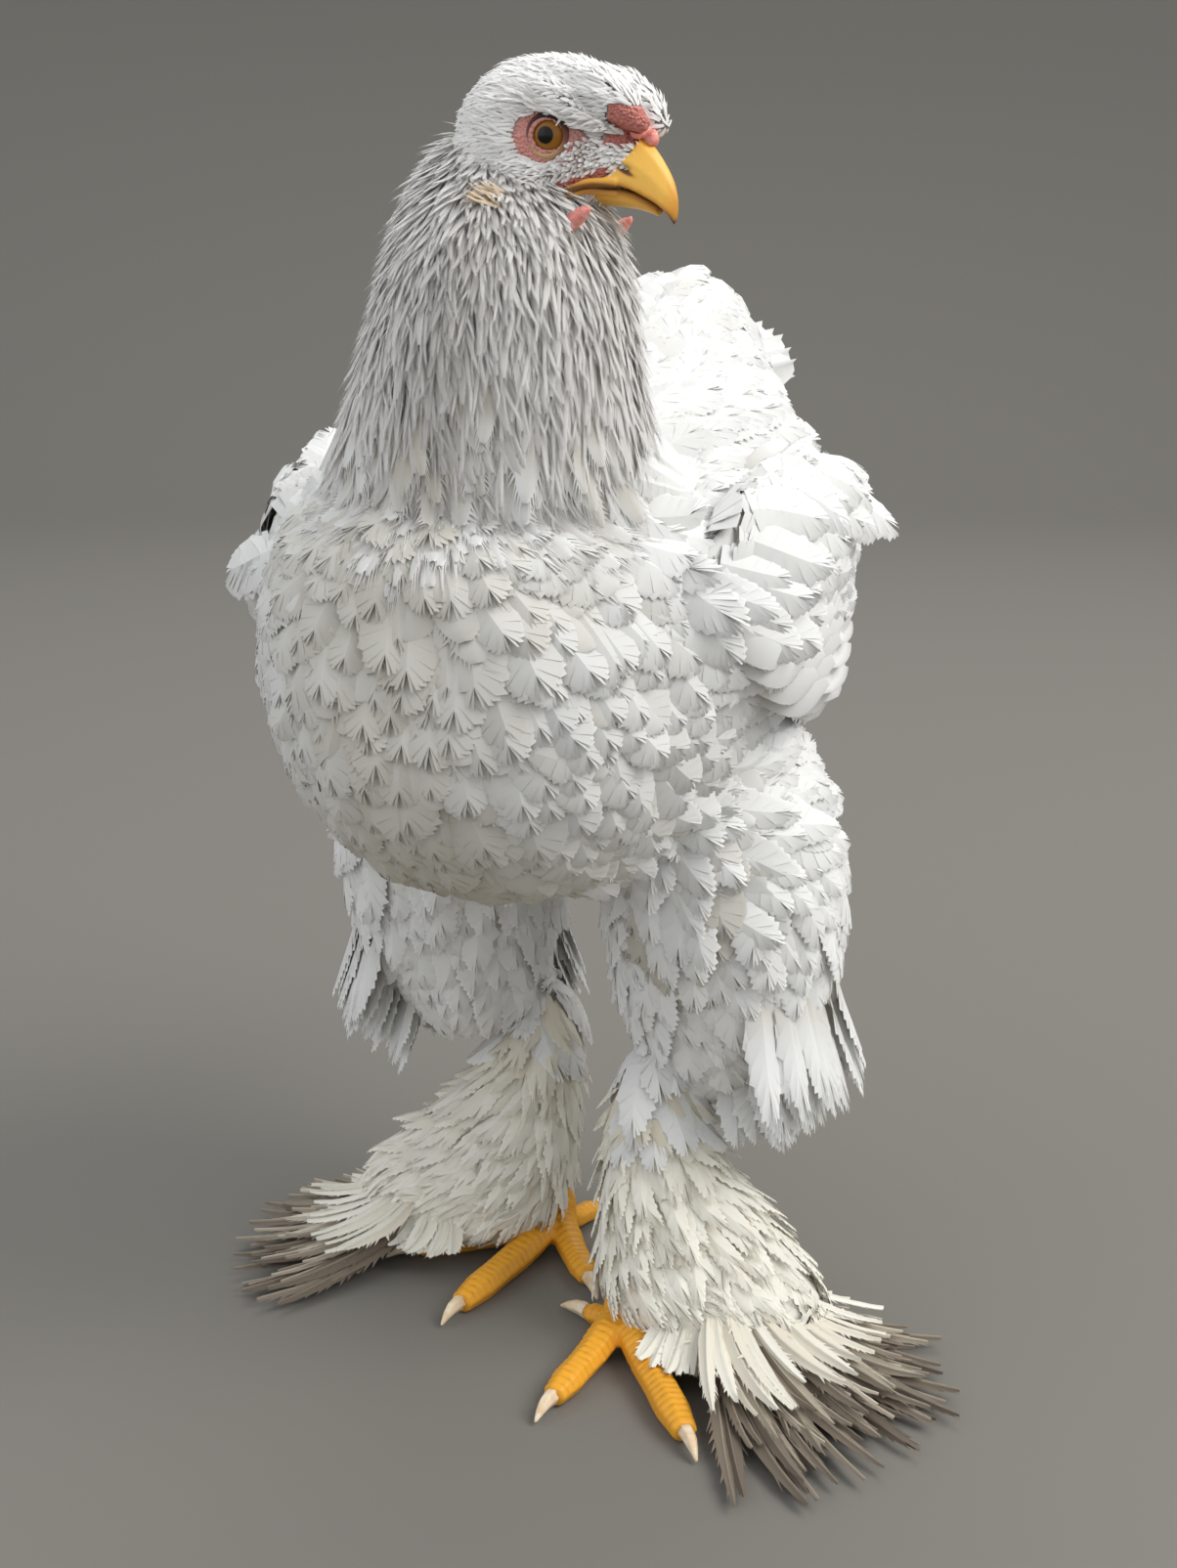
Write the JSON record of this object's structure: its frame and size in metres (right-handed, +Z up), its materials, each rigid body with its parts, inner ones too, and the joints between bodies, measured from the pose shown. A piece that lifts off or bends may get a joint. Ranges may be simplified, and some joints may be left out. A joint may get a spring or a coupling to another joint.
{
  "type": "brahma chicken",
  "caption": "Young white brahma chicken standing with its head turned to its left, with feathered legs and fans of grey-brown feathers over its feet",
  "frame": {"origin": "on the floor under the middle of the bird's box", "axes": "+Z is up, -Y is the way the breast faces, +X is the bird's left"},
  "size_m": [0.3112, 0.349, 0.4644],
  "materials": {
    "plumage": "matt white feathers with a pale grey and buff tint",
    "foot_feathers": "long grey-brown feathers with pale shafts",
    "red_skin": "bare pinkish-red skin, slightly moist",
    "beak_horn": "yellow horn with a darker line along the mouth",
    "toe_skin": "orange-yellow scaled skin",
    "claw_horn": "pale cream horn",
    "eye": "wet amber-brown eye with a black pupil"
  },
  "bodies": {
    "root": {"torso": "plumage", "eye_left": "eye", "eye_right": "eye", "beak_upper": "beak_horn", "beak_lower": "beak_horn", "comb": "red_skin", "wattle_left": "red_skin", "wattle_right": "red_skin", "head": "plumage", "neck": "plumage", "thigh_left": "plumage", "foot_left": "toe_skin", "claw_left_back": "claw_horn", "claw_left_inner": "claw_horn", "claw_left_middle": "claw_horn", "claw_left_outer": "claw_horn", "shank_left": "plumage", "fan_left": "foot_feathers", "thigh_right": "plumage", "foot_right": "toe_skin", "claw_right_back": "claw_horn", "claw_right_inner": "claw_horn", "claw_right_middle": "claw_horn", "claw_right_outer": "claw_horn", "shank_right": "plumage", "fan_right": "foot_feathers", "wing_left": "plumage", "wing_right": "plumage", "tail": "plumage"}
  },
  "joints": []
}
